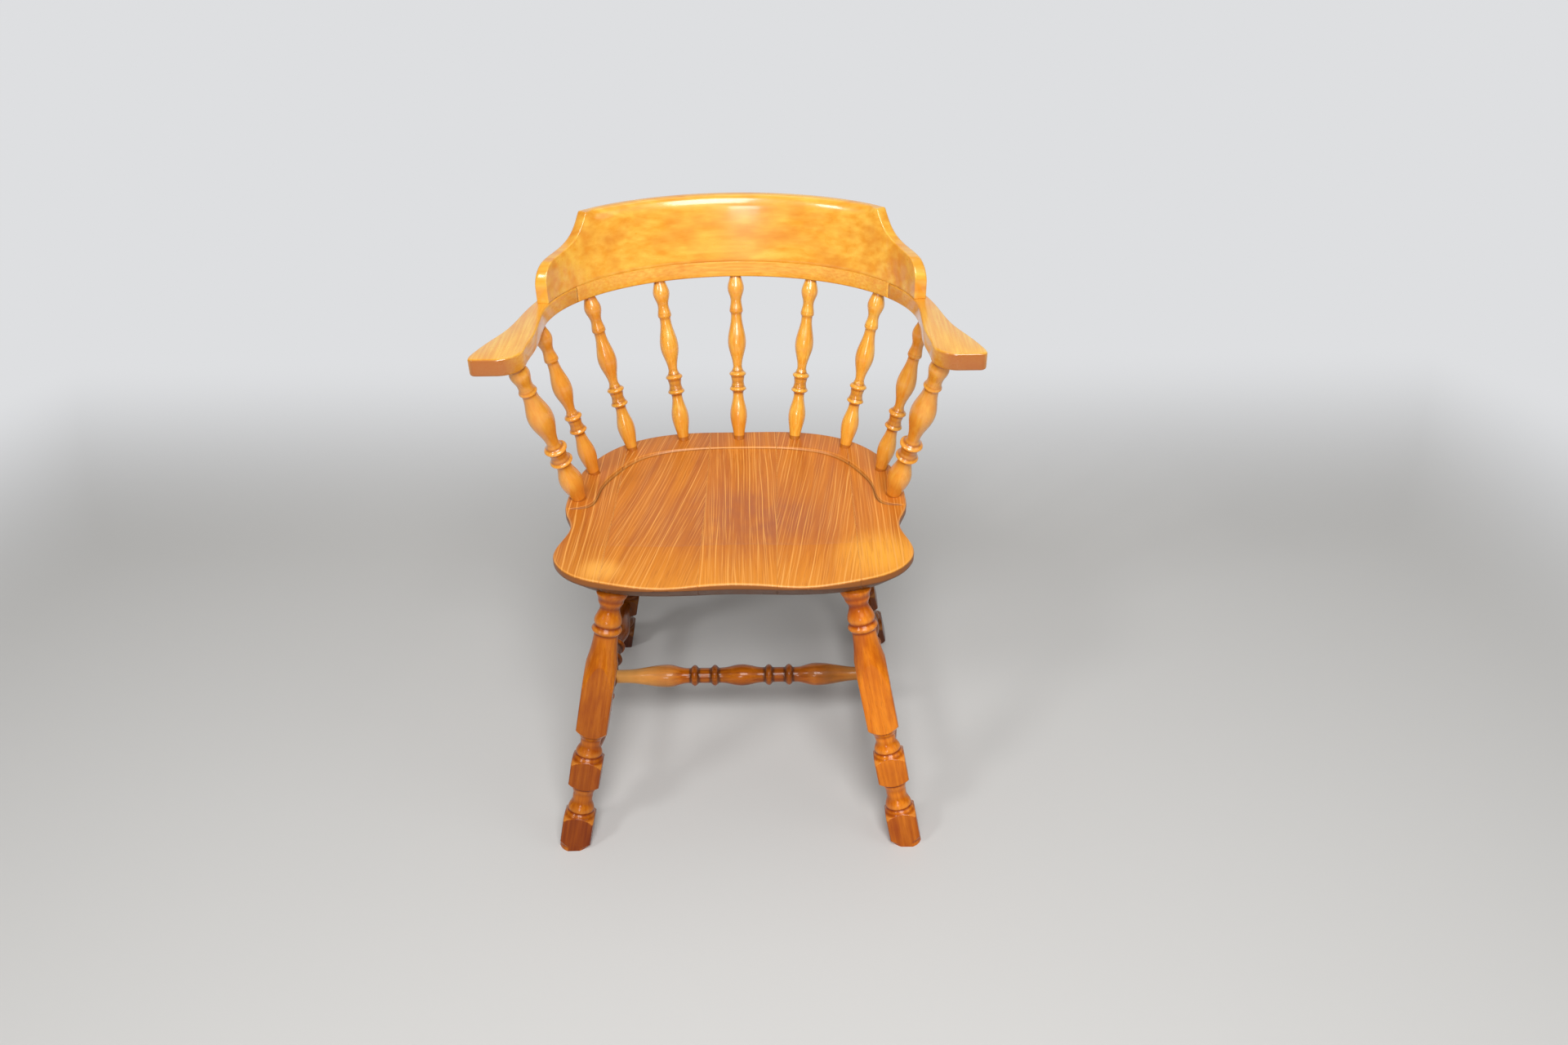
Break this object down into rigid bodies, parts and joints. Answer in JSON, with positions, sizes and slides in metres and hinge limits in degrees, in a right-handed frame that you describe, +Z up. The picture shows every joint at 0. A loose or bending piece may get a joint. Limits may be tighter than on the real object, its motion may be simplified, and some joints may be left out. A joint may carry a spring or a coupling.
{
  "type": "captains chair",
  "caption": "Wooden armchair with a saddled seat on turned splayed legs, turned back spindles and a low arm bow under a raked crest rail.",
  "frame": {"origin": "on the floor under the middle of the chair's box", "axes": "+Z up, +X to the right of someone facing the chair, the sitter faces -Y"},
  "size_m": [0.669, 0.5764, 0.791],
  "materials": {
    "oak_seat": "satin clear lacquer over oak, orange brown",
    "maple_rest": "gloss clear lacquer over maple, honey yellow",
    "maple_base": "gloss clear lacquer over maple, orange brown and worn at the feet",
    "beech_dowel": "bare wood, glued and hidden"
  },
  "bodies": {
    "root": {"seat_board_1": "oak_seat", "seat_board_2": "oak_seat", "seat_board_3": "oak_seat", "seat_board_4": "oak_seat", "seat_board_5": "oak_seat", "arm_post_left": "maple_rest", "back_spindle_1": "maple_rest", "back_spindle_2": "maple_rest", "back_spindle_3": "maple_rest", "back_spindle_4": "maple_rest", "back_spindle_5": "maple_rest", "back_spindle_6": "maple_rest", "back_spindle_7": "maple_rest", "arm_post_right": "maple_rest", "bow_centre": "maple_rest", "arm_left": "maple_rest", "arm_right": "maple_rest", "crest_rail": "maple_rest", "leg_front_left": "maple_base", "leg_rear_left": "maple_base", "leg_front_right": "maple_base", "leg_rear_right": "maple_base", "side_stretcher_left": "maple_base", "side_stretcher_right": "maple_base", "cross_stretcher": "maple_base", "crest_dowel_left": "beech_dowel", "crest_dowel_centre": "beech_dowel", "crest_dowel_right": "beech_dowel", "arm_dowel_left": "beech_dowel", "arm_dowel_right": "beech_dowel"}
  },
  "joints": []
}
